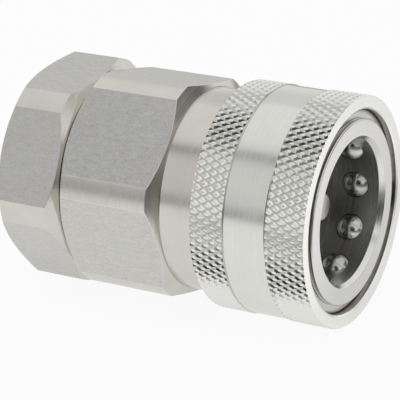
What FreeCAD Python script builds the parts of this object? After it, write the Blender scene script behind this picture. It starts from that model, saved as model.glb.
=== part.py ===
import FreeCAD, Part
import Sketcher
import math
import os

# Hydraulic quick coupler, female half, pull-back sleeve with ball lock.
# The axis is +X, the port face is at x = 0, the socket opens towards +X.
# The part lies on its side, as it comes to rest. Millimetres and degrees.

doc = FreeCAD.newDocument("quick_coupler")
sheet = doc.addObject("Spreadsheet::Sheet", "sizes")

driving_sizes = [
    # lengths along the axis
    ("adapter_hex_length", 16.3),
    ("body_hex_length", 25.5),
    ("collar_exposed", 8.9),
    ("collar_overlap", 2.3),
    ("nose_length", 24.5),
    ("rim_proud", 0.3),
    ("socket_depth", 25.0),
    # both hexagons are cut from one bar
    ("hex_across_flats", 47.6),
    ("hex_corner_trim", 1.38),
    ("hex_end_relief", 0.6),
    ("hex_chamfer_angle", 35.0),
    ("collar_side_chamfer_angle", 33.0),
    ("adapter_hex_turn", 9.7),
    ("body_hex_turn", -8.9),
    # walls from the probe bore outwards
    ("bore_diameter", 31.5),
    ("nose_wall", 4.95),
    ("collar_step", 2.3),
    ("sleeve_wall", 2.8),
    ("guide_clearance", 0.1),
    ("lead_chamfer", 0.82),
    ("entry_relief", 0.35),
    ("edge_chamfer", 0.5),
    # port and joint between adapter and body
    ("port_bore_diameter", 24.6),
    ("port_depth", 16.0),
    ("port_chamfer", 1.2),
    ("flow_bore_diameter", 24.0),
    ("spigot_wall", 6.1),
    ("spigot_length", 9.5),
    ("joint_clearance", 0.1),
    ("adapter_seal_section", 2.4),
    ("adapter_seal_web", 1.0),
    # sleeve
    ("rear_band_length", 8.15),
    ("front_band_length", 9.1),
    ("band_step", 0.3),
    ("rim_chamfer", 0.2),
    ("knurl_depth", 0.56),
    ("knurl_groove_angle", 121.0),
    ("knurl_lean", 29.6),
    ("knurl_overrun", 2.0),
    ("relief_width", 0.24),
    ("relief_depth", 0.1),
    ("land_length", 5.0),
    ("sleeve_stop_gap", 1.9),
    ("stop_step", 0.75),
    # stop ring in the nose
    ("ring_lip", 1.3),
    ("ring_thickness", 1.1),
    ("ring_side_clearance", 0.05),
    ("ring_groove_depth", 1.1),
    ("ring_edge_clearance", 0.25),
    ("ring_gap_angle", 14.0),
    # locking balls
    ("ball_diameter", 6.75),
    ("ball_protrusion", 1.84),
    ("release_margin", 0.05),
    ("ball_clearance", 0.1),
    ("ball_taper_angle", 20.0),
    ("ball_web", 1.0),
    ("ball_turn", 3.0),
    # probe seal
    ("seal_web", 2.0),
    ("seal_section", 2.7),
    ("seal_depth", 2.3),
    ("backup_thickness", 1.4),
    ("seal_clearance", 0.1),
    # valve
    ("chamber_diameter", 29.0),
    ("seat_width", 4.0),
    ("neck_length", 4.5),
    ("head_flow_gap", 1.5),
    ("head_rim", 3.0),
    ("head_lap", 1.0),
    ("seat_gap", 0.3),
    ("poppet_seal_section", 1.8),
    ("poppet_seal_depth", 1.0),
    ("tip_setback", 7.0),
    ("tip_diameter", 6.3),
    ("tip_flare", 2.2),
    ("stem_diameter", 6.0),
    ("stem_clearance", 0.1),
    ("stem_engagement", 5.0),
    ("pilot_step", 1.6),
    ("pilot_height", 1.5),
    ("guide_thickness", 2.5),
    ("guide_hub_length", 8.0),
    ("guide_window_angle", 92.0),
    # springs
    ("sleeve_spring_wire", 1.6),
    ("sleeve_spring_turns", 3.5),
    ("valve_spring_wire", 1.4),
    ("valve_spring_turns", 4.5),
    # how far a cutting outline runs past the surface that it opens
    ("cut_overrun", 1.5),
]
for row, (alias, value) in enumerate(driving_sizes, start=1):
    sheet.set(f"A{row}", alias)
    sheet.set(f"B{row}", str(value))
    sheet.setAlias(f"B{row}", alias)
doc.recompute()

ball_count = 10
window_count = 3
knurl_count = 90
wire_sides = 8

# Radii, from the probe bore outwards
bore_r = "sizes.bore_diameter / 2"
nose_r = f"({bore_r} + sizes.nose_wall)"
collar_r = f"({nose_r} + sizes.collar_step)"
sleeve_bore_r = f"({collar_r} + sizes.guide_clearance)"
sleeve_r = f"({sleeve_bore_r} + sizes.sleeve_wall)"
land_r = f"({nose_r} + sizes.guide_clearance)"
entry_r = f"({bore_r} + sizes.entry_relief)"
band_r = f"({sleeve_r} - sizes.band_step)"
knurl_root_r = f"({sleeve_r} - sizes.knurl_depth)"
relief_r = f"({knurl_root_r} - sizes.relief_depth)"

# Radii of the hexagons, port and joint
flat_r = "sizes.hex_across_flats / 2"
corner_r = "(sizes.hex_across_flats / sqrt(3) - sizes.hex_corner_trim)"
hex_end_r = f"({flat_r} - sizes.hex_end_relief)"
port_r = "sizes.port_bore_diameter / 2"
flow_r = "sizes.flow_bore_diameter / 2"
spigot_r = f"({flow_r} + sizes.spigot_wall)"
counterbore_r = f"({spigot_r} + sizes.joint_clearance)"
adapter_groove_r = f"({counterbore_r} - sizes.adapter_seal_section - sizes.seal_clearance)"

# Stations along the axis, from the port face
joint_x = "sizes.adapter_hex_length"
adapter_groove_rear_x = f"({joint_x} + sizes.adapter_seal_web)"
adapter_groove_front_x = f"({adapter_groove_rear_x} + sizes.adapter_seal_section + 2 * sizes.seal_clearance)"
spigot_end_x = f"({joint_x} + sizes.spigot_length)"
guide_seat_x = f"({spigot_end_x} + sizes.guide_thickness)"
collar_x = f"({joint_x} + sizes.body_hex_length)"
sleeve_rear_x = f"({collar_x} + sizes.collar_exposed)"
shoulder_x = f"({sleeve_rear_x} + sizes.collar_overlap)"
nose_x = f"({shoulder_x} + sizes.nose_length)"
rim_x = f"({nose_x} + sizes.rim_proud)"
socket_floor_x = f"({nose_x} - sizes.socket_depth)"

# Stop ring and its groove
ring_front_x = f"({nose_x} - sizes.ring_lip - sizes.ring_side_clearance)"
ring_rear_x = f"({ring_front_x} - sizes.ring_thickness)"
groove_rear_x = f"({ring_rear_x} - sizes.ring_side_clearance)"
groove_front_x = f"({ring_front_x} + sizes.ring_side_clearance)"
ring_groove_r = f"({nose_r} - sizes.ring_groove_depth)"

# Balls at rest, and the sleeve's cone that lets them out
ball_r = "sizes.ball_diameter / 2"
hole_r = f"({ball_r} + sizes.ball_clearance)"
ball_x = f"({groove_rear_x} - sizes.ball_web - {hole_r})"
ball_rest_r = f"({bore_r} - sizes.ball_protrusion + {ball_r})"
sleeve_travel = "(sizes.collar_exposed - sizes.sleeve_stop_gap)"
cone_slope = f"((sizes.ball_protrusion + sizes.release_margin) / {sleeve_travel})"
cone_r_at_ball = f"({ball_rest_r} + {hole_r} * sqrt(1 + {cone_slope} ^ 2))"
cone_end_r = f"({cone_r_at_ball} + {cone_slope} * ({groove_rear_x} - {ball_x}))"
cone_start_x = f"({ball_x} + ({land_r} - {cone_r_at_ball}) / {cone_slope})"
land_rear_x = f"({ball_x} - sizes.land_length)"
mouth_r = f"({cone_end_r} + sizes.stop_step)"
ring_r = f"({mouth_r} - sizes.ring_edge_clearance)"

# Probe seal: the backup ring lies on the socket's side of the seal
seal_groove_r = f"({bore_r} + sizes.seal_depth)"
seal_front_x = f"({ball_x} - {hole_r} - sizes.seal_web)"
backup_front_x = f"({seal_front_x} - sizes.seal_clearance)"
backup_rear_x = f"({backup_front_x} - sizes.backup_thickness)"
socket_seal_front_x = f"({backup_rear_x} - sizes.seal_clearance)"
socket_seal_rear_x = f"({socket_seal_front_x} - sizes.seal_section)"
seal_rear_x = f"({socket_seal_rear_x} - sizes.seal_clearance)"

# Valve: a 45 degree seat, and a poppet whose cone is parallel to it
chamber_r = "sizes.chamber_diameter / 2"
neck_r = f"({chamber_r} - sizes.seat_width)"
seat_front_x = f"({socket_floor_x} - sizes.neck_length)"
seat_rear_x = f"({seat_front_x} - sizes.seat_width)"
head_r = f"({chamber_r} - sizes.head_flow_gap)"
head_front_r = f"({neck_r} - sizes.head_lap)"
poppet_line = f"({seat_front_x} + {neck_r} - sizes.seat_gap * sqrt(2))"
head_cone_x = f"({poppet_line} - {head_r})"
head_front_x = f"({poppet_line} - {head_front_r})"
head_back_x = f"({head_cone_x} - sizes.head_rim)"
pilot_x = f"({head_back_x} - sizes.pilot_height)"
seal_line = f"({seat_front_x} + {neck_r} - sizes.seal_clearance * sqrt(2))"
poppet_groove_mid_x = f"(({head_cone_x} + {head_front_x}) / 2)"
poppet_groove_rear_x = f"({poppet_groove_mid_x} - sizes.poppet_seal_section / 2)"
poppet_groove_front_x = f"({poppet_groove_mid_x} + sizes.poppet_seal_section / 2)"
poppet_groove_r = f"({poppet_line} - {poppet_groove_front_x} - sizes.poppet_seal_depth)"
tip_x = f"({nose_x} - sizes.tip_setback)"
tip_r = "sizes.tip_diameter / 2"
stem_r = "sizes.stem_diameter / 2"
pilot_r = f"({stem_r} + sizes.pilot_step)"
stem_end_x = f"({guide_seat_x} - sizes.stem_engagement)"
valve_coil_r = f"({pilot_r} + sizes.stem_clearance + sizes.valve_spring_wire / 2)"
hub_r = f"({valve_coil_r} + sizes.valve_spring_wire)"
sleeve_coil_r = f"(({nose_r} + {sleeve_bore_r}) / 2)"


def number(expression):
    return float(sheet.evalExpression(expression))


def origin_plane(body, role):
    return next(item for item in body.Origin.OriginFeatures if item.Role == role)


def new_body(node):
    body = doc.addObject("PartDesign::Body", node)
    body.Label = node
    return body


def plane_sketch(body, name, role):
    sketch = body.newObject("Sketcher::SketchObject", name)
    sketch.AttachmentSupport = (origin_plane(body, role), [""])
    sketch.MapMode = "FlatFace"
    return sketch


def draw_outline(sketch, corners):
    # A closed outline. A corner that shares a coordinate with the one before it is tied to it
    # by a level or upright line, and every other coordinate is a dimension from the origin.
    points = [FreeCAD.Vector(number(x), number(r), 0) for x, r in corners]
    count = len(points)
    lines = [Part.LineSegment(points[i], points[(i + 1) % count]) for i in range(count)]
    sketch.addGeometry(lines, False)
    ties = [Sketcher.Constraint("Coincident", i, 2, (i + 1) % count, 1) for i in range(count)]
    dimensions = []
    for i, (x, r) in enumerate(corners):
        before = corners[i - 1]
        after = corners[(i + 1) % count]
        closes = i == count - 1
        if i > 0 and x == before[0]:
            ties.append(Sketcher.Constraint("Vertical", i - 1))
        elif closes and x == after[0]:
            ties.append(Sketcher.Constraint("Vertical", i))
        elif x == "0":
            ties.append(Sketcher.Constraint("PointOnObject", i, 1, -2))
        else:
            dimensions.append((Sketcher.Constraint("DistanceX", -1, 1, i, 1, points[i].x), x))
        if i > 0 and r == before[1]:
            ties.append(Sketcher.Constraint("Horizontal", i - 1))
        elif closes and r == after[1]:
            ties.append(Sketcher.Constraint("Horizontal", i))
        elif r == "0":
            ties.append(Sketcher.Constraint("PointOnObject", i, 1, -1))
        else:
            dimensions.append((Sketcher.Constraint("DistanceY", -1, 1, i, 1, points[i].y), r))
    sketch.addConstraint(ties)
    for constraint, expression in dimensions:
        index = sketch.addConstraint(constraint)
        sketch.setExpression(f"Constraints[{index}]", expression)
    return sketch


def turned(body, kind, name, corners, angle=None):
    # A solid or a cut that is turned about the part's axis, from an outline in x and radius
    sketch = draw_outline(plane_sketch(body, f"{name}_outline", "XY_Plane"), corners)
    feature = body.newObject(f"PartDesign::{kind}", name)
    feature.Profile = sketch
    feature.ReferenceAxis = (sketch, ["H_Axis"])
    feature.Angle = 360
    if angle:
        feature.setExpression("Angle", angle)
    return feature


def cut_checked(body, feature):
    # A cut has to take material away
    doc.recompute()
    if feature.Shape.Volume >= feature.BaseFeature.Shape.Volume:
        raise RuntimeError(f"{body.Label}: {feature.Name} cuts nothing")


def hexagon_bar(body, start_x, length, turn):
    # A hexagon with a corner on the sketch's level axis, turned about the part's axis
    sketch = plane_sketch(body, f"{body.Name}_hexagon", "YZ_Plane")
    sketch.setExpression("AttachmentOffset.Base.z", start_x)
    sketch.setExpression("AttachmentOffset.Rotation.Angle", turn)
    sharp_r = number("sizes.hex_across_flats / sqrt(3)")
    spots = [math.radians(60 * k) for k in range(6)]
    points = [FreeCAD.Vector(sharp_r * math.cos(a), sharp_r * math.sin(a), 0) for a in spots]
    for k in range(6):
        sketch.addGeometry(Part.LineSegment(points[k], points[(k + 1) % 6]), False)
    up = FreeCAD.Vector(0, 0, 1)
    circle = sketch.addGeometry(Part.Circle(FreeCAD.Vector(), up, sharp_r), True)
    sketch.addConstraint([Sketcher.Constraint("Coincident", k, 2, (k + 1) % 6, 1) for k in range(6)])
    sketch.addConstraint(Sketcher.Constraint("Coincident", circle, 3, -1, 1))
    sketch.addConstraint([Sketcher.Constraint("PointOnObject", k, 1, circle) for k in range(6)])
    sketch.addConstraint([Sketcher.Constraint("Equal", 0, k) for k in range(1, 6)])
    sketch.addConstraint(Sketcher.Constraint("PointOnObject", 0, 1, -1))
    index = sketch.addConstraint(Sketcher.Constraint("Radius", circle, sharp_r))
    sketch.setExpression(f"Constraints[{index}]", "sizes.hex_across_flats / sqrt(3)")
    pad = body.newObject("PartDesign::Pad", f"{body.Name}_bar")
    pad.Profile = sketch
    pad.setExpression("Length", length)
    return pad


def turn_hex_corners(body, start_x, end_x, start_angle, end_angle):
    # The bar's corners are turned to a cylinder, with a cone at each end
    drop = f"({corner_r} - {hex_end_r})"
    far_r = "sizes.hex_across_flats"
    cut = turned(body, "Groove", f"{body.Name}_corners", [
        (start_x, hex_end_r),
        (f"({start_x} + {drop} * tan({start_angle} * 1 deg))", corner_r),
        (f"({end_x} - {drop} * tan({end_angle} * 1 deg))", corner_r),
        (end_x, hex_end_r),
        (end_x, far_r),
        (start_x, far_r),
    ])
    cut_checked(body, cut)


def polar(body, feature, name, count):
    pattern = body.newObject("PartDesign::PolarPattern", name)
    pattern.Originals = [feature]
    pattern.Axis = (origin_plane(body, "X_Axis"), [""])
    pattern.Angle = 360
    pattern.Occurrences = count
    body.Tip = pattern
    return pattern


def coil_spring(node, start_x, end_x, coil_r, wire, turns):
    # Wire, drawn with few sides, swept along a helix about the part's axis
    upright = FreeCAD.Rotation(FreeCAD.Vector(0, 1, 0), 90)
    helix = doc.addObject("Part::Helix", f"{node}_path")
    helix.setExpression("Radius", coil_r)
    helix.setExpression("Height", f"{end_x} - {start_x} - {wire}")
    helix.setExpression("Pitch", f"({end_x} - {start_x} - {wire}) / {turns}")
    helix.Placement = FreeCAD.Placement(FreeCAD.Vector(), upright)
    helix.setExpression("Placement.Base.x", f"{start_x} + {wire} / 2")
    section = doc.addObject("Part::RegularPolygon", f"{node}_wire")
    section.Polygon = wire_sides
    section.setExpression("Circumradius", f"{wire} / 2")
    across = FreeCAD.Rotation(FreeCAD.Vector(1, 0, 0), 90)
    section.Placement = FreeCAD.Placement(FreeCAD.Vector(), across)
    section.setExpression("Placement.Base.x", f"{start_x} + {wire} / 2")
    section.setExpression("Placement.Base.z", f"-({coil_r})")
    doc.recompute()
    spring = doc.addObject("Part::Sweep", node)
    spring.Label = node
    spring.Sections = [section]
    spring.Spine = (helix, [f"Edge{k + 1}" for k in range(len(helix.Shape.Edges))])
    spring.Solid = True
    spring.Frenet = True
    return spring


def make_port_adapter():
    body = new_body("port_adapter")
    hexagon_bar(body, "0", "sizes.adapter_hex_length", "sizes.adapter_hex_turn")
    turn_hex_corners(body, "0", joint_x, "sizes.hex_chamfer_angle", "sizes.hex_chamfer_angle")
    turned(body, "Revolution", "adapter_spigot", [
        (joint_x, "0"),
        (joint_x, spigot_r),
        (adapter_groove_rear_x, spigot_r),
        (adapter_groove_rear_x, adapter_groove_r),
        (adapter_groove_front_x, adapter_groove_r),
        (adapter_groove_front_x, spigot_r),
        (f"({spigot_end_x} - sizes.edge_chamfer)", spigot_r),
        (spigot_end_x, f"({spigot_r} - sizes.edge_chamfer)"),
        (spigot_end_x, "0"),
    ])
    cut = turned(body, "Groove", "adapter_passage", [
        ("0", "0"),
        ("0", f"({port_r} + sizes.port_chamfer)"),
        ("sizes.port_chamfer", port_r),
        ("sizes.port_depth", port_r),
        ("sizes.port_depth", flow_r),
        (spigot_end_x, flow_r),
        (spigot_end_x, "0"),
    ])
    cut_checked(body, cut)
    return body


def make_coupler_body():
    body = new_body("coupler_body")
    hexagon_bar(body, joint_x, "sizes.body_hex_length", "sizes.body_hex_turn")
    turn_hex_corners(body, joint_x, collar_x, "sizes.hex_chamfer_angle", "sizes.collar_side_chamfer_angle")
    turned(body, "Revolution", "collar_and_nose", [
        (collar_x, "0"),
        (collar_x, collar_r),
        (f"({shoulder_x} - sizes.edge_chamfer)", collar_r),
        (shoulder_x, f"({collar_r} - sizes.edge_chamfer)"),
        (shoulder_x, nose_r),
        (groove_rear_x, nose_r),
        (groove_rear_x, ring_groove_r),
        (groove_front_x, ring_groove_r),
        (groove_front_x, nose_r),
        (f"({nose_x} - sizes.edge_chamfer)", nose_r),
        (nose_x, f"({nose_r} - sizes.edge_chamfer)"),
        (nose_x, "0"),
    ])
    passage = turned(body, "Groove", "body_passage", [
        (joint_x, "0"),
        (joint_x, counterbore_r),
        (guide_seat_x, counterbore_r),
        (guide_seat_x, chamber_r),
        (seat_rear_x, chamber_r),
        (seat_front_x, neck_r),
        (socket_floor_x, neck_r),
        (socket_floor_x, bore_r),
        (seal_rear_x, bore_r),
        (seal_rear_x, seal_groove_r),
        (seal_front_x, seal_groove_r),
        (seal_front_x, bore_r),
        (f"({ball_x} + {hole_r})", bore_r),
        (f"({ball_x} + {hole_r})", entry_r),
        (f"({nose_x} - sizes.lead_chamfer)", entry_r),
        (nose_x, f"({entry_r} + sizes.lead_chamfer)"),
        (nose_x, "0"),
    ])
    cut_checked(body, passage)
    # One tapered ball hole: its outline is drawn in distance from the hole's axis and radius
    sketch = plane_sketch(body, "ball_hole_outline", "XY_Plane")
    tilt = FreeCAD.Rotation(FreeCAD.Vector(1, 0, 0), number("sizes.ball_turn"))
    sketch.AttachmentOffset = FreeCAD.Placement(FreeCAD.Vector(), tilt)
    sketch.setExpression("AttachmentOffset.Base.x", ball_x)
    sketch.setExpression("AttachmentOffset.Rotation.Angle", "sizes.ball_turn")
    taper = "(sizes.ball_taper_angle * 1 deg)"
    inner_end_r = f"({bore_r} - sizes.cut_overrun)"
    outer_end_r = f"({nose_r} + sizes.cut_overrun)"
    draw_outline(sketch, [
        ("0", inner_end_r),
        (f"({hole_r} / cos({taper}) + ({inner_end_r} - {ball_rest_r}) * tan({taper}))", inner_end_r),
        (hole_r, f"({ball_rest_r} - {hole_r} * tan({taper} / 2))"),
        (hole_r, outer_end_r),
        ("0", outer_end_r),
    ])
    hole = body.newObject("PartDesign::Groove", "ball_hole")
    hole.Profile = sketch
    hole.ReferenceAxis = (sketch, ["V_Axis"])
    hole.Angle = 360
    cut_checked(body, hole)
    polar(body, hole, "ball_holes", ball_count)
    return body


def knurl(body, name, start_x, end_x, lean):
    # One straight V groove, tangent to the sleeve at mid band, repeated all round
    sketch = plane_sketch(body, f"{name}_section", "YZ_Plane")
    upright = FreeCAD.Vector(0, 1, 0)
    sketch.AttachmentOffset = FreeCAD.Placement(FreeCAD.Vector(), FreeCAD.Rotation(upright, number(lean)))
    sketch.setExpression("AttachmentOffset.Base.z", f"({start_x} + {end_x}) / 2")
    sketch.setExpression("AttachmentOffset.Rotation.Angle", lean)
    top_r = f"({sleeve_r} + sizes.knurl_depth)"
    half_width = f"({top_r} - {knurl_root_r}) * tan(sizes.knurl_groove_angle / 2 * 1 deg)"
    draw_outline(sketch, [("0", knurl_root_r), (half_width, top_r), (f"-{half_width}", top_r)])
    groove = body.newObject("PartDesign::Pocket", f"{name}_groove")
    groove.Profile = sketch
    groove.SideType = "Symmetric"
    reach = f"({end_x} - {start_x} + 2 * sizes.knurl_overrun)"
    groove.setExpression("Length", f"{reach} / cos(sizes.knurl_lean * 1 deg)")
    cut_checked(body, groove)
    polar(body, groove, f"{name}_grooves", knurl_count)


def make_locking_sleeve():
    body = new_body("locking_sleeve")
    rear_band_x = f"({sleeve_rear_x} + sizes.rear_band_length)"
    front_band_x = f"({rim_x} - sizes.front_band_length)"
    rear_knurl_x = f"({rear_band_x} - sizes.relief_width)"
    front_knurl_x = f"({front_band_x} + sizes.relief_width)"
    turned(body, "Revolution", "sleeve_turning", [
        (sleeve_rear_x, f"({sleeve_bore_r} + sizes.edge_chamfer)"),
        (sleeve_rear_x, f"({sleeve_r} - sizes.edge_chamfer)"),
        (f"({sleeve_rear_x} + sizes.edge_chamfer)", sleeve_r),
        (rear_knurl_x, sleeve_r),
        (rear_knurl_x, relief_r),
        (front_knurl_x, relief_r),
        (front_knurl_x, sleeve_r),
        (f"({rim_x} - sizes.rim_chamfer)", sleeve_r),
        (rim_x, f"({sleeve_r} - sizes.rim_chamfer)"),
        (rim_x, f"({mouth_r} + sizes.edge_chamfer)"),
        (f"({rim_x} - sizes.edge_chamfer)", mouth_r),
        (groove_rear_x, mouth_r),
        (groove_rear_x, cone_end_r),
        (cone_start_x, land_r),
        (land_rear_x, land_r),
        (land_rear_x, sleeve_bore_r),
        (f"({sleeve_rear_x} + sizes.edge_chamfer)", sleeve_bore_r),
    ])
    # Diamond knurl on both ends, then the smooth band between them
    for name, start_x, end_x in (
        ("rear", sleeve_rear_x, rear_knurl_x),
        ("front", front_knurl_x, rim_x),
    ):
        knurl(body, f"{name}_left", start_x, end_x, "sizes.knurl_lean")
        knurl(body, f"{name}_right", start_x, end_x, "-sizes.knurl_lean")
    turned(body, "Revolution", "smooth_band", [
        (rear_band_x, f"({relief_r} - sizes.knurl_depth)"),
        (rear_band_x, band_r),
        (front_band_x, band_r),
        (front_band_x, f"({relief_r} - sizes.knurl_depth)"),
    ])
    return body


def make_stop_ring():
    body = new_body("sleeve_stop_ring")
    inner_r = f"({ring_groove_r} + sizes.ring_side_clearance)"
    turned(body, "Revolution", "stop_ring_section", [
        (ring_rear_x, inner_r),
        (ring_rear_x, ring_r),
        (ring_front_x, ring_r),
        (ring_front_x, inner_r),
    ], "360 - sizes.ring_gap_angle")
    return body


def make_backup_ring():
    body = new_body("seal_backup_ring")
    inner_r = f"({bore_r} + sizes.seal_clearance)"
    outer_r = f"({seal_groove_r} - sizes.seal_clearance)"
    turned(body, "Revolution", "backup_ring_section", [
        (backup_rear_x, inner_r),
        (backup_rear_x, outer_r),
        (backup_front_x, outer_r),
        (backup_front_x, inner_r),
    ])
    return body


def make_valve_guide():
    body = new_body("valve_guide")
    hub_rear_x = f"({guide_seat_x} - sizes.guide_hub_length)"
    hub_bore_r = f"({stem_r} + sizes.stem_clearance)"
    turned(body, "Revolution", "guide_disc", [
        (hub_rear_x, hub_bore_r),
        (hub_rear_x, hub_r),
        (spigot_end_x, hub_r),
        (spigot_end_x, spigot_r),
        (guide_seat_x, spigot_r),
        (guide_seat_x, hub_bore_r),
    ])
    doc.recompute()
    window = turned(body, "Groove", "guide_window", [
        (spigot_end_x, hub_r),
        (spigot_end_x, flow_r),
        (guide_seat_x, flow_r),
        (guide_seat_x, hub_r),
    ], "sizes.guide_window_angle")
    cut_checked(body, window)
    polar(body, window, "guide_windows", window_count)
    return body


def make_valve_poppet():
    body = new_body("valve_poppet")
    flare_r = f"({tip_r} + sizes.tip_flare)"
    turned(body, "Revolution", "poppet_turning", [
        (stem_end_x, "0"),
        (stem_end_x, f"({stem_r} - sizes.edge_chamfer)"),
        (f"({stem_end_x} + sizes.edge_chamfer)", stem_r),
        (pilot_x, stem_r),
        (pilot_x, pilot_r),
        (head_back_x, pilot_r),
        (head_back_x, head_r),
        (head_cone_x, head_r),
        (head_front_x, head_front_r),
        (head_front_x, flare_r),
        (f"({head_front_x} + sizes.tip_flare)", tip_r),
        (f"({tip_x} - sizes.edge_chamfer)", tip_r),
        (tip_x, f"({tip_r} - sizes.edge_chamfer)"),
        (tip_x, "0"),
    ])
    doc.recompute()
    # A square groove in the cone holds the seal
    groove = turned(body, "Groove", "poppet_seal_groove", [
        (poppet_groove_rear_x, poppet_groove_r),
        (poppet_groove_front_x, poppet_groove_r),
        (poppet_groove_front_x, chamber_r),
        (poppet_groove_rear_x, chamber_r),
    ])
    cut_checked(body, groove)
    return body


def make_poppet_seal():
    # Its cone stands proud of the poppet's, just clear of the seat
    body = new_body("poppet_seal")
    rear_x = f"({poppet_groove_rear_x} + sizes.seal_clearance)"
    front_x = f"({poppet_groove_front_x} - sizes.seal_clearance)"
    floor_r = f"({poppet_groove_r} + sizes.seal_clearance)"
    turned(body, "Revolution", "poppet_seal_section_turning", [
        (rear_x, floor_r),
        (front_x, floor_r),
        (front_x, f"({seal_line} - {front_x})"),
        (rear_x, f"({seal_line} - {rear_x})"),
    ])
    return body


def make_socket_seal():
    # A ring with a flat back and a bevelled lip that stands into the bore
    body = new_body("socket_seal")
    outer_r = f"({seal_groove_r} - sizes.seal_clearance)"
    lip_r = f"({outer_r} - sizes.seal_section)"
    bevel = "sizes.seal_section / 4"
    turned(body, "Revolution", "socket_seal_turning", [
        (socket_seal_rear_x, f"({lip_r} + {bevel})"),
        (socket_seal_rear_x, outer_r),
        (socket_seal_front_x, outer_r),
        (socket_seal_front_x, f"({lip_r} + {bevel})"),
        (f"({socket_seal_front_x} - {bevel})", lip_r),
        (f"({socket_seal_rear_x} + {bevel})", lip_r),
    ])
    return body


def make_adapter_seal():
    body = new_body("adapter_seal")
    rear_x = f"({adapter_groove_rear_x} + sizes.seal_clearance)"
    front_x = f"({adapter_groove_front_x} - sizes.seal_clearance)"
    outer_r = f"({counterbore_r} - sizes.seal_clearance / 2)"
    inner_r = f"({outer_r} - sizes.adapter_seal_section)"
    turned(body, "Revolution", "adapter_seal_turning", [
        (rear_x, inner_r),
        (rear_x, outer_r),
        (front_x, outer_r),
        (front_x, inner_r),
    ])
    return body


def make_balls():
    balls = []
    for k in range(ball_count):
        node = f"locking_ball_{k + 1:02d}"
        ball = doc.addObject("Part::Sphere", node)
        ball.Label = node
        turn = f"((sizes.ball_turn + {k} * 360 / {ball_count}) * 1 deg)"
        ball.setExpression("Radius", ball_r)
        ball.setExpression("Placement.Base.x", ball_x)
        ball.setExpression("Placement.Base.y", f"{ball_rest_r} * cos({turn})")
        ball.setExpression("Placement.Base.z", f"{ball_rest_r} * sin({turn})")
        balls.append(ball)
    return balls


nodes = [
    make_port_adapter(),
    make_coupler_body(),
    make_adapter_seal(),
    make_valve_guide(),
    make_valve_poppet(),
    make_poppet_seal(),
    coil_spring(
        "valve_spring", guide_seat_x, head_back_x, valve_coil_r,
        "sizes.valve_spring_wire", "sizes.valve_spring_turns",
    ),
    make_socket_seal(),
    make_backup_ring(),
    make_locking_sleeve(),
    coil_spring(
        "sleeve_spring", shoulder_x, land_rear_x, sleeve_coil_r,
        "sizes.sleeve_spring_wire", "sizes.sleeve_spring_turns",
    ),
    make_stop_ring(),
]
nodes += make_balls()
doc.recompute()

for item in doc.Objects:
    if "Invalid" in item.State or "Error" in item.State:
        raise RuntimeError(f"{item.Label}: {item.State}")
for node in nodes:
    if node.Shape.isNull() or not node.Shape.isValid() or len(node.Shape.Solids) != 1:
        raise RuntimeError(f"{node.Label}: not one valid solid")

os.makedirs("parts", exist_ok=True)
for node in nodes:
    node.Shape.exportStep(f"parts/{node.Label}.step")
    box = node.Shape.BoundBox
    print(f"{node.Label}: {node.Shape.Volume:.1f} mm3, x {box.XMin:.2f} to {box.XMax:.2f}")
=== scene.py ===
import math

import bmesh
import bpy
from mathutils import Matrix, Vector


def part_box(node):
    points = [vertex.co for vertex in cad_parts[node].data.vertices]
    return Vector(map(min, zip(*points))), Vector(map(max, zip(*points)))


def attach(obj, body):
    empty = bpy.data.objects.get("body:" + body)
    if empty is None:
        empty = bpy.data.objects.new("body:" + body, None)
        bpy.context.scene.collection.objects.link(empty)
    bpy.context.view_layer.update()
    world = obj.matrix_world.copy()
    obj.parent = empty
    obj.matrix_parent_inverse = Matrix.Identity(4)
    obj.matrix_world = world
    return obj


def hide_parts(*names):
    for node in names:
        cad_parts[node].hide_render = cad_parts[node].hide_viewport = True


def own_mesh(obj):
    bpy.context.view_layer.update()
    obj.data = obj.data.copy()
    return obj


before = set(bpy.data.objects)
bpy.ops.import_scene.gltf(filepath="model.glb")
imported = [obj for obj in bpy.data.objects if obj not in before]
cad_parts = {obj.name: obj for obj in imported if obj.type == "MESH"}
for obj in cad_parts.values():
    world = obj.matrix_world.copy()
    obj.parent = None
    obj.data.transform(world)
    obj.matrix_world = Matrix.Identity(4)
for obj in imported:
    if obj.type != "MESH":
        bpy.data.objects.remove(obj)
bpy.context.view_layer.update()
print("frame loaded,", len(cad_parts), "nodes")

# Pieces are drawn in millimetres and shrunk to metres as they are finished
mm = 0.001
fullTurn = math.tau
mergeGap = 1e-4  # points this close are merged
sameGap = 1e-3  # lengths that differ by less count as equal


# Shared ways of shaping

def spinOutline(outline, steps, closed=True):
    # outline: (along, radius) points, turned once about X
    bm = bmesh.new()
    spots = [bm.verts.new((x, radius, 0.0)) for x, radius in outline]
    ends = spots[1:] + spots[:1] if closed else spots[1:]
    lines = [bm.edges.new(pair) for pair in zip(spots, ends)]
    bmesh.ops.spin(bm, geom=spots + lines, cent=(0, 0, 0), axis=(1, 0, 0),
                   angle=fullTurn, steps=steps, use_merge=True)
    bmesh.ops.remove_doubles(bm, verts=bm.verts[:], dist=mergeGap)
    bmesh.ops.recalc_face_normals(bm, faces=bm.faces[:])
    return bm


def coilOutline(section, startX, coilRadius, turns, lead, stepsPerTurn):
    # section: (along, outwards) corners round the wire, swept up a helix about X
    bm = bmesh.new()
    spots = [bm.verts.new((startX + along, 0.0, -coilRadius - out)) for along, out in section]
    lines = [bm.edges.new(pair) for pair in zip(spots, spots[1:] + spots[:1])]
    steps = round(turns * stepsPerTurn)
    bmesh.ops.spin(bm, geom=spots + lines, cent=(0, 0, 0), axis=(1, 0, 0),
                   dvec=(lead * turns / steps, 0, 0), angle=fullTurn * turns, steps=steps)
    openEnds = [e for e in bm.edges if len(e.link_faces) == 1]
    bmesh.ops.holes_fill(bm, edges=openEnds, sides=0)
    bmesh.ops.recalc_face_normals(bm, faces=bm.faces[:])
    return bm


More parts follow.
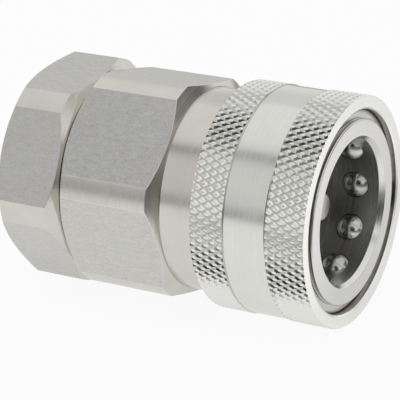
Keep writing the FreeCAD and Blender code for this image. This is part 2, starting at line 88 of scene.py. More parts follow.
def easeEdges(bm, width, limit):
    # outer corners get a small round, and its faces are marked as edge
    mark = bm.faces.layers.float.new("edge")
    sharp = [e for e in bm.edges if len(e.link_faces) == 2
             and e.calc_face_angle_signed(0.0) > math.radians(limit)]
    made = bmesh.ops.bevel(bm, geom=sharp, offset=width, offset_type="OFFSET", affect="EDGES",
                           segments=2, profile=0.5, material=-1, clamp_overlap=True)
    for face in made["faces"]:
        face[mark] = 1.0


def setRadius(v, radius):
    grow = radius / math.hypot(v.co.y, v.co.z)
    v.co.y *= grow
    v.co.z *= grow


def makePiece(bm, name, material, body, replaced, smoothAngle=30):
    bmesh.ops.scale(bm, vec=(mm, mm, mm), verts=bm.verts[:])
    mesh = bpy.data.meshes.new(name)
    bm.to_mesh(mesh)
    bm.free()
    mesh.shade_smooth()
    mesh.set_sharp_from_angle(angle=math.radians(smoothAngle))
    mesh.materials.append(material)
    piece = bpy.data.objects.new(name, mesh)
    bpy.context.scene.collection.objects.link(piece)
    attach(piece, body)
    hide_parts(*replaced)
    print("piece", name, len(mesh.polygons), "faces")
    return piece


def carve(piece, cutter, name):
    # cuts a closed shape, drawn in millimetres, out of a finished piece
    bmesh.ops.recalc_face_normals(cutter, faces=cutter.faces[:])
    bmesh.ops.scale(cutter, vec=(mm, mm, mm), verts=cutter.verts[:])
    toolMesh = bpy.data.meshes.new(name)
    cutter.to_mesh(toolMesh)
    cutter.free()
    tool = bpy.data.objects.new(name, toolMesh)
    bpy.context.scene.collection.objects.link(tool)
    cut = piece.modifiers.new(name, "BOOLEAN")
    cut.operation = "DIFFERENCE"
    cut.solver = "MANIFOLD"
    cut.object = tool
    bpy.context.view_layer.update()
    graph = bpy.context.evaluated_depsgraph_get()
    carved = bpy.data.meshes.new_from_object(
        piece.evaluated_get(graph), preserve_all_data_layers=True, depsgraph=graph)
    piece.modifiers.clear()
    piece.data = carved
    bpy.data.objects.remove(tool)
    print(name, "carved,", len(carved.polygons), "faces")


# Nodes that the finishes and the studio share

noiseSpan = (0.3, 0.7)  # nearly all of what a noise gives lies between these


def addMath(tree, operation, a, b=None):
    node = tree.nodes.new("ShaderNodeMath")
    node.operation = operation
    for socket, value in zip(node.inputs, (a, b)):
        if isinstance(value, (int, float)):
            socket.default_value = value
        elif value is not None:
            tree.links.new(value, socket)
    return node.outputs[0]


def addNoise(tree, vector, scale, detail, dimensions="3D"):
    node = tree.nodes.new("ShaderNodeTexNoise")
    node.noise_dimensions = dimensions
    node.inputs["Detail"].default_value = detail
    tree.links.new(vector, node.inputs["Vector"])
    if isinstance(scale, (int, float)):
        node.inputs["Scale"].default_value = scale
    else:
        tree.links.new(scale, node.inputs["Scale"])
    return node.outputs["Fac"]


def addFade(tree, value, ends, first, last):
    node = tree.nodes.new("ShaderNodeMapRange")
    for label, number in zip(("From Min", "From Max", "To Min", "To Max"), (*ends, first, last)):
        node.inputs[label].default_value = number
    tree.links.new(value, node.inputs["Value"])
    return node.outputs["Result"]


def addMix(tree, factor, a, b):
    node = tree.nodes.new("ShaderNodeMix")
    node.data_type = "RGBA"
    for socket, value in ((node.inputs[0], factor), (node.inputs[6], a), (node.inputs[7], b)):
        if isinstance(value, bpy.types.NodeSocket):
            tree.links.new(value, socket)
        else:
            socket.default_value = value
    return node.outputs[2]


def addBump(tree, height, strength, depth):
    node = tree.nodes.new("ShaderNodeBump")
    node.inputs["Strength"].default_value = strength
    node.inputs["Distance"].default_value = depth
    tree.links.new(height, node.inputs["Height"])
    return node.outputs["Normal"]


def addMark(tree, name):
    node = tree.nodes.new("ShaderNodeAttribute")
    node.attribute_name = name
    return node.outputs["Fac"]


def scaled(colour, factor):
    return tuple(min(1.0, c * factor) for c in colour[:3]) + (1.0,)


def addTones(tree, pattern, colour, tones):
    darkest, lightest = scaled(colour, tones[0]), scaled(colour, tones[1])
    return addMix(tree, addFade(tree, pattern, noiseSpan, 0.0, 1.0), darkest, lightest)


def addRoughness(tree, pattern, middle, spread):
    return addFade(tree, pattern, noiseSpan, middle - spread, middle + spread)


# Shared surface effects

effects = {
    "lines": 4000.0, "grains": 2600.0, "drawnMarks": 1500.0, "clouds": 160.0, "breaks": 900.0,  # per metre
    "drawnStretch": 0.3, "speckShare": 0.65,  # drawing marks run along the bar, fainter than the specks
    "leastWear": 0.3,
}


def newGroup(name, inputs, outputs):
    group = bpy.data.node_groups.new(name, "ShaderNodeTree")
    for label, value in inputs.items():
        socket = group.interface.new_socket(label, in_out="INPUT", socket_type="NodeSocketFloat")
        socket.default_value = value
    for label in outputs:
        group.interface.new_socket(label, in_out="OUTPUT", socket_type="NodeSocketFloat")
    entry = group.nodes.new("NodeGroupInput")
    leave = group.nodes.new("NodeGroupOutput")
    return group, entry, leave


def placeGroup(tree, group, **values):
    node = tree.nodes.new("ShaderNodeGroup")
    node.node_tree = group
    for label, value in values.items():
        node.inputs[label.replace("_", " ")].default_value = value
    return node


def turningLinesGroup():
    # fine rings left by the lathe, the same all round the axis
    group, entry, leave = newGroup("turningLines", {"Lines per metre": effects["lines"]}, ["Lines"])
    where = group.nodes.new("ShaderNodeTexCoord")
    split = group.nodes.new("ShaderNodeSeparateXYZ")
    group.links.new(where.outputs["Object"], split.inputs[0])
    ySquare = addMath(group, "MULTIPLY", split.outputs["Y"], split.outputs["Y"])
    zSquare = addMath(group, "MULTIPLY", split.outputs["Z"], split.outputs["Z"])
    radius = addMath(group, "SQRT", addMath(group, "ADD", ySquare, zSquare))
    join = group.nodes.new("ShaderNodeCombineXYZ")
    group.links.new(split.outputs["X"], join.inputs["X"])
    group.links.new(radius, join.inputs["Y"])
    rings = addNoise(group, join.outputs[0], entry.outputs["Lines per metre"], detail=3.0, dimensions="2D")
    group.links.new(rings, leave.inputs["Lines"])
    return group


def satinGrainGroup():
    # pickled bar: a fine mottle with faint drawing marks along the axis
    group, entry, leave = newGroup(
        "satinGrain", {"Grains per metre": effects["grains"]}, ["Grain", "Clouds"])
    where = group.nodes.new("ShaderNodeTexCoord").outputs["Object"]
    stretch = group.nodes.new("ShaderNodeMapping")
    stretch.inputs["Scale"].default_value = (effects["drawnStretch"], 1.0, 1.0)
    group.links.new(where, stretch.inputs["Vector"])
    specks = addNoise(group, where, entry.outputs["Grains per metre"], detail=4.0)
    drawn = addNoise(group, stretch.outputs["Vector"], effects["drawnMarks"], detail=3.0)
    grain = addMath(group, "ADD", addMath(group, "MULTIPLY", specks, effects["speckShare"]),
                    addMath(group, "MULTIPLY", drawn, 1.0 - effects["speckShare"]))
    group.links.new(grain, leave.inputs["Grain"])
    group.links.new(addNoise(group, where, effects["clouds"], detail=2.0), leave.inputs["Clouds"])
    return group


def wornEdgeGroup():
    # the rounds at the corners are brighter and smoother, with breaks
    group, entry, leave = newGroup("wornEdge", {"Amount": 1.0}, ["Mask"])
    where = group.nodes.new("ShaderNodeTexCoord").outputs["Object"]
    breaks = addNoise(group, where, effects["breaks"], detail=2.0)
    wear = addMath(group, "ADD", breaks, effects["leastWear"])
    patchy = addMath(group, "MULTIPLY", addMark(group, "edge"), wear)
    group.links.new(addMath(group, "MULTIPLY", patchy, entry.outputs["Amount"]), leave.inputs["Mask"])
    return group


turningLines = turningLinesGroup()
satinGrain = satinGrainGroup()
wornEdge = wornEdgeGroup()
print("surface effects ready")


# Finishes

colours = {
    "hexFlat": (0.62, 0.615, 0.585, 1.0),
    "hexTurned": (0.63, 0.612, 0.562, 1.0),
    # painted highlight colour for the nose's front and its rim past the ring groove
    "nose": (0.76, 0.755, 0.735, 1.0),
    "bore": (0.71, 0.71, 0.70, 1.0),
    "sleeve": (0.72, 0.718, 0.685, 1.0),
    # painted highlight colour for the sleeve's rim face, with a share of it on the knurl
    "faced": (0.96, 0.958, 0.925, 1.0),
    # painted shade colour for the sleeve's inner walls and rear face
    "insideShade": (0.50, 0.49, 0.455, 1.0),
    "ring": (0.68, 0.665, 0.63, 1.0),
    "valve": (0.62, 0.61, 0.59, 1.0),
    "spring": (0.42, 0.41, 0.40, 1.0),
    "ball": (0.57, 0.57, 0.55, 1.0),
    "rubber": (0.018, 0.018, 0.019, 1.0),
    "backup": (0.27, 0.265, 0.25, 1.0),
}


def newMaterial(name):
    material = bpy.data.materials.new(name)
    material.use_nodes = True
    shader = material.node_tree.nodes["Principled BSDF"]
    return material, material.node_tree, shader


turned = {"tones": (0.95, 1.05), "spread": 0.06, "insideRough": 0.12, "wornTone": 1.15, "wornPolish": 0.06,
          "bump": 0.5, "lineDepth": 0.000004}


def turnedSteel(name, colour, roughness):
    # the faces that are marked for it get a painted highlight, a lighter colour, and what is marked as
    # inside gets painted shade, a darker colour, and is rougher
    material, tree, shader = newMaterial(name)
    faced, inside = addMark(tree, "faced"), addMark(tree, "inside")
    rings = placeGroup(tree, turningLines).outputs["Lines"]
    clouds = placeGroup(tree, satinGrain).outputs["Clouds"]
    worn = placeGroup(tree, wornEdge).outputs["Mask"]
    mixed = addMath(tree, "MULTIPLY", addMath(tree, "ADD", rings, clouds), 0.5)
    tone = addTones(tree, mixed, colour, turned["tones"])
    # painted shade on the faces marked as inside
    tone = addMix(tree, inside, tone, colours["insideShade"])
    # painted highlight on the marked faces
    tone = addMix(tree, faced, tone, colours["faced"])
    tone = addMix(tree, worn, tone, scaled(colour, turned["wornTone"]))
    tree.links.new(tone, shader.inputs["Base Color"])
    rough = addRoughness(tree, mixed, roughness, turned["spread"])
    rough = addMath(tree, "ADD", rough, addMath(tree, "MULTIPLY", inside, turned["insideRough"]))
    rough = addMath(tree, "SUBTRACT", rough, addMath(tree, "MULTIPLY", worn, turned["wornPolish"]))
    tree.links.new(rough, shader.inputs["Roughness"])
    tree.links.new(addBump(tree, rings, turned["bump"], turned["lineDepth"]), shader.inputs["Normal"])
    shader.inputs["Metallic"].default_value = 1.0
    return material


hexBar = {
    "flatTones": (0.80, 1.12), "turnedTones": (0.97, 1.03), "boreTones": (0.95, 1.05), "wornTone": 1.08,
    "flatRough": 0.36, "flatSpread": 0.07, "turnedRough": 0.20, "turnedSpread": 0.05, "boreRough": 0.30,
    "lines": 3500.0, "lineShare": 0.25, "bump": 0.6, "grainDepth": 0.00002,
}


def hexSteel(name):
    # the bar's flats keep the satin grain, what was turned is smoother, and the bore is dull
    material, tree, shader = newMaterial(name)
    flat, bore, faced = addMark(tree, "flat"), addMark(tree, "bore"), addMark(tree, "faced")
    satin = placeGroup(tree, satinGrain)
    grain, clouds = satin.outputs["Grain"], satin.outputs["Clouds"]
    rings = placeGroup(tree, turningLines, Lines_per_metre=hexBar["lines"]).outputs["Lines"]
    worn = placeGroup(tree, wornEdge).outputs["Mask"]
    satinTone = addTones(tree, grain, colours["hexFlat"], hexBar["flatTones"])
    turnedTone = addTones(tree, clouds, colours["hexTurned"], hexBar["turnedTones"])
    boreTone = addTones(tree, rings, colours["bore"], hexBar["boreTones"])
    tone = addMix(tree, bore, addMix(tree, flat, turnedTone, satinTone), boreTone)
    # painted highlight on the nose's front faces and its rim past the ring groove
    tone = addMix(tree, faced, tone, colours["nose"])
    tone = addMix(tree, worn, tone, scaled(colours["hexFlat"], hexBar["wornTone"]))
    tree.links.new(tone, shader.inputs["Base Color"])
    satinRough = addRoughness(tree, grain, hexBar["flatRough"], hexBar["flatSpread"])
    turnedRough = addRoughness(tree, rings, hexBar["turnedRough"], hexBar["turnedSpread"])
    rough = addMath(tree, "ADD", addMath(tree, "MULTIPLY", satinRough, flat),
                    addMath(tree, "MULTIPLY", turnedRough, addMath(tree, "SUBTRACT", 1.0, flat)))
    duller = hexBar["boreRough"] - hexBar["turnedRough"]
    rough = addMath(tree, "ADD", rough, addMath(tree, "MULTIPLY", bore, duller))
    tree.links.new(rough, shader.inputs["Roughness"])
    height = addMath(tree, "ADD", addMath(tree, "MULTIPLY", grain, flat),
                     addMath(tree, "MULTIPLY", rings, hexBar["lineShare"]))
    tree.links.new(addBump(tree, height, hexBar["bump"], hexBar["grainDepth"]), shader.inputs["Normal"])
    shader.inputs["Metallic"].default_value = 1.0
    return material


grained = {"tones": (0.8, 1.2), "spread": 0.08, "bump": 0.4, "grainDepth": 0.00001}


def grainedMaterial(name, colour, roughness, grains, metallic=0.0):
    material, tree, shader = newMaterial(name)
    satin = placeGroup(tree, satinGrain, Grains_per_metre=grains)
    grain, clouds = satin.outputs["Grain"], satin.outputs["Clouds"]
    tree.links.new(addTones(tree, clouds, colour, grained["tones"]), shader.inputs["Base Color"])
    tree.links.new(addRoughness(tree, grain, roughness, grained["spread"]), shader.inputs["Roughness"])
    tree.links.new(addBump(tree, grain, grained["bump"], grained["grainDepth"]), shader.inputs["Normal"])
    shader.inputs["Metallic"].default_value = metallic
    return material


hexFinish = hexSteel("hex_steel")
sleeveFinish = turnedSteel("sleeve_steel", colours["sleeve"], roughness=0.20)
ringFinish = turnedSteel("ring_steel", colours["ring"], roughness=0.24)
valveFinish = turnedSteel("valve_steel", colours["valve"], roughness=0.30)
springFinish = grainedMaterial("spring_steel", colours["spring"], roughness=0.34, grains=2400.0,
                               metallic=1.0)
ballFinish = grainedMaterial("ball_steel", colours["ball"], roughness=0.21, grains=3000.0, metallic=1.0)
rubberFinish = grainedMaterial("seal_rubber", colours["rubber"], roughness=0.55, grains=2200.0)
backupFinish = grainedMaterial("backup_plastic", colours["backup"], roughness=0.45, grains=2000.0)
print("finishes ready")


# The hexagon bar: two rings of a turned shape follow its flats and turned corners

bar = {"flatRadius": 23.8, "cornerRadius": 26.1, "endRadius": 23.2, "inset": 2.0, "columns": 360,
       "edge": 0.09, "edgeLimit": 14, "sharpAngle": 7, "flatSlack": 0.02, "facing": 0.9}


def shapeHexagon(bm, startX, endX, startAngle, endAngle, turn):
    half = math.degrees(math.acos(bar["flatRadius"] / bar["cornerRadius"]))
    pace = 360 / bar["columns"]
    sector = 360 / 6
    middle = (startX + endX) / 2
    for v in bm.verts:
        radius = math.hypot(v.co.y, v.co.z)
        angle = math.degrees(math.atan2(v.co.z, v.co.y))
        offset = (angle - turn) % sector - sector / 2  # from the middle of the nearest flat
        if abs(abs(offset) - half) <= pace / 2:  # a column of points lies on each flat's border
            snapped = math.copysign(half, offset)
            angle += snapped - offset
            offset = snapped
        if abs(radius - bar["cornerRadius"]) < sameGap and startX < v.co.x < endX:
            radius = min(bar["cornerRadius"], bar["flatRadius"] / math.cos(math.radians(offset)))
            drop = radius - bar["endRadius"]
            if v.co.x < middle:
                v.co.x = startX + drop * math.tan(math.radians(startAngle))
            else:
                v.co.x = endX - drop * math.tan(math.radians(endAngle))
        v.co.y = radius * math.cos(math.radians(angle))
        v.co.z = radius * math.sin(math.radians(angle))


def markFlats(bm, startX, endX):
    flat = bm.faces.layers.float.new("flat")
    for face in bm.faces:
        middle = face.calc_center_median()
        outwards = math.hypot(middle.y, middle.z)
        along = abs(face.normal.x) < bar["flatSlack"]
        if startX < middle.x < endX and outwards > bar["endRadius"] and along:
            radial = Vector((0.0, middle.y, middle.z)) / outwards
            onFlat = abs(middle.dot(face.normal) - bar["flatRadius"]) < bar["flatSlack"]
            face[flat] = 1.0 if onFlat and radial.dot(face.normal) > bar["facing"] else 0.0


def finishHexagon(bm, startX, endX):
    bm.normal_update()
    easeEdges(bm, bar["edge"], bar["edgeLimit"])
    bm.normal_update()
    markFlats(bm, startX, endX)


# Port adapter with its pipe thread

adapter = {
    "startX": 0.0, "endX": 16.3, "turn": 9.7, "chamfer": 35.0,
    "seam": 0.16, "seamDepth": 1.2,  # the joint to the body shows as a fine line
    "portRadius": 12.3, "portDepth": 16.0, "portCorner": 0.05, "flowRadius": 12.0,
    "spigotRadius": 18.1, "spigotEnd": 25.8, "spigotCorner": 0.5,
    "grooveRear": 17.3, "grooveFront": 19.9, "grooveRadius": 15.7,
    "threadDepth": 1.15, "threadPitch": 1.814, "threadStart": 0.6, "threadClear": 0.4,
    "threadSink": 0.2, "threadCrest": 0.24, "threadHide": 0.05, "threadFront": 0.08, "threadSteps": 60,
}


def makeThread(wall):
    # a ridge, sunk into the wall, that rises from nothing behind the mouth
    depth, sink, halfCrest = adapter["threadDepth"], adapter["threadSink"], adapter["threadCrest"] / 2
    pitch, halfPitch = adapter["threadPitch"], adapter["threadPitch"] / 2
    ridge = [(-halfPitch, sink), (-halfCrest, -depth), (halfCrest, -depth), (halfPitch, sink)]
    turns = (adapter["portDepth"] - adapter["threadClear"] - halfPitch) / pitch
    thread = coilOutline(ridge, adapter["threadStart"], wall, turns, pitch, adapter["threadSteps"])
    for v in thread.verts:
        least = wall + adapter["threadHide"] - max(0.0, v.co.x - adapter["threadStart"])
        if math.hypot(v.co.y, v.co.z) < least:
            setRadius(v, least)
        v.co.x = max(v.co.x, adapter["threadFront"])
    return thread


def makeAdapter():
    wall = adapter["portRadius"] + adapter["threadDepth"]
    seamX = adapter["endX"] - adapter["seam"]
    seamFloor = bar["endRadius"] - adapter["seamDepth"]
    outline = [
        (adapter["startX"], bar["endRadius"]),
        (adapter["startX"] + bar["inset"], bar["cornerRadius"]),
        (adapter["endX"] - bar["inset"], bar["cornerRadius"]),
        (seamX, bar["endRadius"]),
        (seamX, seamFloor),
        (adapter["endX"], seamFloor),
        (adapter["endX"], adapter["spigotRadius"]),
        (adapter["grooveRear"], adapter["spigotRadius"]),
        (adapter["grooveRear"], adapter["grooveRadius"]),
        (adapter["grooveFront"], adapter["grooveRadius"]),
        (adapter["grooveFront"], adapter["spigotRadius"]),
        (adapter["spigotEnd"] - adapter["spigotCorner"], adapter["spigotRadius"]),
        (adapter["spigotEnd"], adapter["spigotRadius"] - adapter["spigotCorner"]),
        (adapter["spigotEnd"], adapter["flowRadius"]),
        (adapter["portDepth"], adapter["flowRadius"]),
        (adapter["portDepth"], wall),
        (adapter["startX"] + adapter["portCorner"], wall),
        (adapter["startX"], wall + adapter["portCorner"]),
    ]
    bm = spinOutline(outline, bar["columns"])
    shapeHexagon(bm, adapter["startX"], seamX, adapter["chamfer"], adapter["chamfer"], adapter["turn"])
    finishHexagon(bm, adapter["startX"], adapter["endX"])
    thread = makeThread(wall)
    spare = bpy.data.meshes.new("spareThread")
    thread.to_mesh(spare)
    thread.free()
    bm.from_mesh(spare)
    bpy.data.meshes.remove(spare)
    makePiece(bm, "adapter_turned", hexFinish, "body", ["port_adapter"], bar["sharpAngle"])


makeAdapter()


# Coupler body: front hexagon, collar, nose and the tapered ball holes

coupler = {
    "startX": 16.3, "endX": 41.8, "turn": -8.9, "startChamfer": 35.0, "collarChamfer": 33.0,
    "collarRadius": 23.0, "shoulderX": 53.0, "shoulderCorner": 0.5,
    "noseRadius": 20.7, "noseX": 77.5, "noseCorner": 0.2, "noseFacing": 0.4,
    "ringRear": 75.0, "ringFront": 76.2, "ringRadius": 19.6,
    "counterboreRadius": 18.2, "guideSeat": 28.3, "chamberRadius": 14.5,
    "seatRear": 44.0, "seatFront": 48.0, "neckRadius": 10.5, "socketFloor": 52.5,
    "boreRadius": 15.75, "sealRear": 58.6, "sealFront": 65.05, "sealRadius": 18.05,
    "entryX": 68.0, "mouthRadius": 16.92, "funnelX": 76.3, "funnelRadius": 16.15,
    "ballX": 70.525, "ballTurn": 3.0, "ballCount": 10, "holeSteps": 64,
    # how far out from the axis, and the hole's radius there
    "holeInner": (14.25, 2.593), "holeBend": (16.672, 3.475), "holeOuter": 22.2,
}


def markTurning(bm):
    bore, faced = bm.faces.layers.float.new("bore"), bm.faces.layers.float.new("faced")
    for face in bm.faces:
        middle = face.calc_center_median()
        outwards = math.hypot(middle.y, middle.z)
        inBore = outwards < coupler["funnelRadius"] and coupler["seatRear"] < middle.x < coupler["funnelX"]
        # the nose's front and its rim past the ring groove are marked for a painted highlight
        onNose = face.normal.x > coupler["noseFacing"] and middle.x > coupler["funnelX"]
        byRing = middle.x > coupler["ringFront"] and outwards > coupler["ringRadius"]
        face[bore] = 1.0 if inBore else 0.0
        face[faced] = 1.0 if onNose or byRing else 0.0


def ballDrill():
    innerAt, innerRadius = coupler["holeInner"]
    bendAt, holeRadius = coupler["holeBend"]
    outerAt = coupler["holeOuter"]
    outline = [
        (innerAt, 0.0),
        (innerAt, innerRadius),
        (bendAt, holeRadius),
        (outerAt, holeRadius),
        (outerAt, 0.0),
    ]
    bm = spinOutline(outline, coupler["holeSteps"], closed=False)
    outwards = Matrix.Rotation(math.radians(90), 4, "Z")
    aim = Matrix.Rotation(math.radians(coupler["ballTurn"]), 4, "X") @ outwards
    place = Matrix.Translation((coupler["ballX"], 0, 0))
    bmesh.ops.transform(bm, matrix=place @ aim, verts=bm.verts[:])
    count = coupler["ballCount"]
    bmesh.ops.spin(bm, geom=bm.verts[:] + bm.edges[:] + bm.faces[:], cent=(0, 0, 0), axis=(1, 0, 0),
                   angle=fullTurn * (count - 1) / count, steps=count - 1, use_duplicate=True)
    return bm


def makeCoupler():
    outline = [
        (coupler["startX"], bar["endRadius"]),
        (coupler["startX"] + bar["inset"], bar["cornerRadius"]),
        (coupler["endX"] - bar["inset"], bar["cornerRadius"]),
        (coupler["endX"], bar["endRadius"]),
        (coupler["endX"], coupler["collarRadius"]),
        (coupler["shoulderX"] - coupler["shoulderCorner"], coupler["collarRadius"]),
        (coupler["shoulderX"], coupler["collarRadius"] - coupler["shoulderCorner"]),
        (coupler["shoulderX"], coupler["noseRadius"]),
        (coupler["ringRear"], coupler["noseRadius"]),
        (coupler["ringRear"], coupler["ringRadius"]),
        (coupler["ringFront"], coupler["ringRadius"]),
        (coupler["ringFront"], coupler["noseRadius"]),
        (coupler["noseX"] - coupler["noseCorner"], coupler["noseRadius"]),
        (coupler["noseX"], coupler["noseRadius"] - coupler["noseCorner"]),
        (coupler["noseX"], coupler["mouthRadius"]),
        (coupler["funnelX"], coupler["funnelRadius"]),
        (coupler["entryX"], coupler["boreRadius"]),
        (coupler["sealFront"], coupler["boreRadius"]),
        (coupler["sealFront"], coupler["sealRadius"]),
        (coupler["sealRear"], coupler["sealRadius"]),
        (coupler["sealRear"], coupler["boreRadius"]),
        (coupler["socketFloor"], coupler["boreRadius"]),
        (coupler["socketFloor"], coupler["neckRadius"]),
        (coupler["seatFront"], coupler["neckRadius"]),
        (coupler["seatRear"], coupler["chamberRadius"]),
        (coupler["guideSeat"], coupler["chamberRadius"]),
        (coupler["guideSeat"], coupler["counterboreRadius"]),
        (coupler["startX"], coupler["counterboreRadius"]),
    ]
    bm = spinOutline(outline, bar["columns"])
    shapeHexagon(bm, coupler["startX"], coupler["endX"], coupler["startChamfer"], coupler["collarChamfer"],
                 coupler["turn"])
    finishHexagon(bm, coupler["startX"], coupler["endX"])
    markTurning(bm)
    piece = makePiece(bm, "coupler_turned", hexFinish, "body", ["coupler_body"])
    carve(piece, ballDrill(), "ballHoles")
    piece.data.set_sharp_from_angle(angle=math.radians(bar["sharpAngle"]))


makeCoupler()


# Locking sleeve with two knurled bands

sleeve = {
    "rearX": 50.7, "rimX": 77.8, "topRadius": 25.9, "rearCorner": 0.3, "rimCorner": 0.2, "facing": 0.6,
    "rearBand": 58.62, "frontBand": 68.86, "bandRadius": 25.6,
    "seamRadius": 25.45, "seamFloor": 0.12, "seamEnd": 0.36,  # a fine groove at each end of the smooth band
    "boreRadius": 23.1, "boreCorner": 0.5, "landRadius": 20.8, "landRear": 65.525,
    "coneStart": 70.30, "coneEnd": 75.0, "coneRadius": 22.07, "mouthRadius": 22.82, "mouthCorner": 0.35,
    "steps": 180, "sharpAngle": 18,
    # bright: the share of the painted highlight that the knurl gets
    "knurlCount": 90, "knurlPitch": 3.18, "knurlStart": 46.84, "rootRadius": 25.42, "bright": 0.24,
    "flank": 0.33, "flankHeight": 0.38, "cornerAngle": 165, "cornerCut": 0.30, "crownHeight": 0.09,
    "toolRadius": 27.5, "toolLap": 0.02, "toolPast": 0.5,
}


def knurlTool(startX, endX):
    # a tube of oblong cells; its cell borders are turned into a net of pointed diamonds
    rows = math.ceil((endX - sleeve["knurlStart"]) / sleeve["knurlPitch"]) + 1
    length = rows * sleeve["knurlPitch"]
    bm = bmesh.new()
    bmesh.ops.create_cone(bm, cap_ends=False, segments=sleeve["knurlCount"], radius1=sleeve["rootRadius"],
                          radius2=sleeve["rootRadius"], depth=length)
    lie = Matrix.Rotation(math.radians(90), 4, "Y")
    place = Matrix.Translation((sleeve["knurlStart"] + length / 2, 0, 0))
    bmesh.ops.transform(bm, matrix=place @ lie, verts=bm.verts[:])
    lengthwise = [e for e in bm.edges if abs(e.verts[0].co.x - e.verts[1].co.x) > sameGap]
    bmesh.ops.subdivide_edges(bm, edges=lengthwise, cuts=rows - 1)
    oblong = [e for e in bm.edges if len(e.link_faces) == 2]
    bmesh.ops.poke(bm, faces=bm.faces[:])
    bmesh.ops.dissolve_edges(bm, edges=oblong)
    for v in bm.verts:
        setRadius(v, sleeve["rootRadius"])
    bmesh.ops.recalc_face_normals(bm, faces=bm.faces[:])
    tops = bm.faces[:]
    for edge in bm.edges[:]:  # each side in thirds, so that the corners can be eased
        extra, third = bmesh.utils.edge_split(edge, edge.verts[0], 1 / 3)
        bmesh.utils.edge_split(max(edge, extra, key=lambda e: e.calc_length()), third, 1 / 2)
    bmesh.ops.inset_individual(bm, faces=tops, thickness=sleeve["flank"], depth=sleeve["flankHeight"],
                               use_even_offset=True)
    cornerAngle = math.radians(sleeve["cornerAngle"])
    for face in tops:
        middle = face.calc_center_median()
        for corner in [loop.vert for loop in face.loops if loop.calc_angle() < cornerAngle]:
            corner.co = corner.co.lerp(middle, sleeve["cornerCut"])
    bmesh.ops.poke(bm, faces=tops, offset=sleeve["crownHeight"])
    for x, outside in ((startX, -1), (endX, 1)):
        bmesh.ops.bisect_plane(bm, geom=bm.verts[:] + bm.edges[:] + bm.faces[:], plane_co=(x, 0, 0),
                               plane_no=(outside, 0, 0), clear_outer=True)
    raised = bmesh.ops.extrude_face_region(bm, geom=bm.faces[:], use_keep_orig=True)
    for v in raised["geom"]:
        if isinstance(v, bmesh.types.BMVert):
            setRadius(v, sleeve["toolRadius"])
    # the knurl's faces carry a share of the painted highlight into the sleeve
    faced = bm.faces.layers.float.new("faced")
    for face in bm.faces:
        face[faced] = sleeve["bright"]
    return bm


def markSleeve(bm):
    faced, inside = bm.faces.layers.float.new("faced"), bm.faces.layers.float.new("inside")
    for face in bm.faces:
        middle = face.calc_center_median()
        # the rim's front face is marked for a painted highlight
        onRim = face.normal.x > sleeve["facing"] and middle.x > sleeve["rimX"] - sleeve["mouthCorner"]
        # faces turned inwards or to the rear are marked for painted shade
        inwards = face.normal.dot((0.0, middle.y, middle.z)) < 0.0 or face.normal.x < -sleeve["facing"]
        face[faced] = 1.0 if onRim else 0.0
        face[inside] = 1.0 if inwards else 0.0


def makeSleeve():
    outline = [
        (sleeve["rearX"], sleeve["boreRadius"] + sleeve["boreCorner"]),
        (sleeve["rearX"], sleeve["topRadius"] - sleeve["rearCorner"]),
        (sleeve["rearX"] + sleeve["rearCorner"], sleeve["topRadius"]),
        (sleeve["rearBand"], sleeve["topRadius"]),
        (sleeve["rearBand"] + sleeve["seamFloor"], sleeve["seamRadius"]),
        (sleeve["rearBand"] + sleeve["seamEnd"], sleeve["bandRadius"]),
        (sleeve["frontBand"] - sleeve["seamEnd"], sleeve["bandRadius"]),
        (sleeve["frontBand"] - sleeve["seamFloor"], sleeve["seamRadius"]),
        (sleeve["frontBand"], sleeve["topRadius"]),
        (sleeve["rimX"] - sleeve["rimCorner"], sleeve["topRadius"]),
        (sleeve["rimX"], sleeve["topRadius"] - sleeve["rimCorner"]),
        (sleeve["rimX"], sleeve["mouthRadius"] + sleeve["mouthCorner"]),
        (sleeve["rimX"] - sleeve["mouthCorner"], sleeve["mouthRadius"]),
        (sleeve["coneEnd"], sleeve["mouthRadius"]),
        (sleeve["coneEnd"], sleeve["coneRadius"]),
        (sleeve["coneStart"], sleeve["landRadius"]),
        (sleeve["landRear"], sleeve["landRadius"]),
        (sleeve["landRear"], sleeve["boreRadius"]),
        (sleeve["rearX"] + sleeve["boreCorner"], sleeve["boreRadius"]),
    ]
    bm = spinOutline(outline, sleeve["steps"])
    markSleeve(bm)
    piece = makePiece(bm, "sleeve_knurled", sleeveFinish, "sleeve", ["locking_sleeve"])
    past, lap = sleeve["toolPast"], sleeve["toolLap"]
    for name, startX, endX in (("rearKnurl", sleeve["rearX"] - past, sleeve["rearBand"] + lap),
                               ("frontKnurl", sleeve["frontBand"] - lap, sleeve["rimX"] + past)):
        carve(piece, knurlTool(startX, endX), name)
    piece.data.set_sharp_from_angle(angle=math.radians(sleeve["sharpAngle"]))


makeSleeve()


# Valve poppet

poppet = {
    "stemEnd": 23.3, "stemRadius": 3.0, "pilotX": 40.576, "pilotRadius": 4.6,
    "headBack": 42.076, "headRadius": 13.0, "coneX": 45.076, "frontX": 48.576, "frontRadius": 9.5,
    "grooveRear": 45.926, "grooveFront": 47.726, "grooveRadius": 9.35,
    "flareX": 50.776, "flareRadius": 5.35, "tipX": 70.5, "tipRadius": 3.15,
    "corner": 0.5, "edge": 0.16, "edgeLimit": 25, "steps": 72,
}


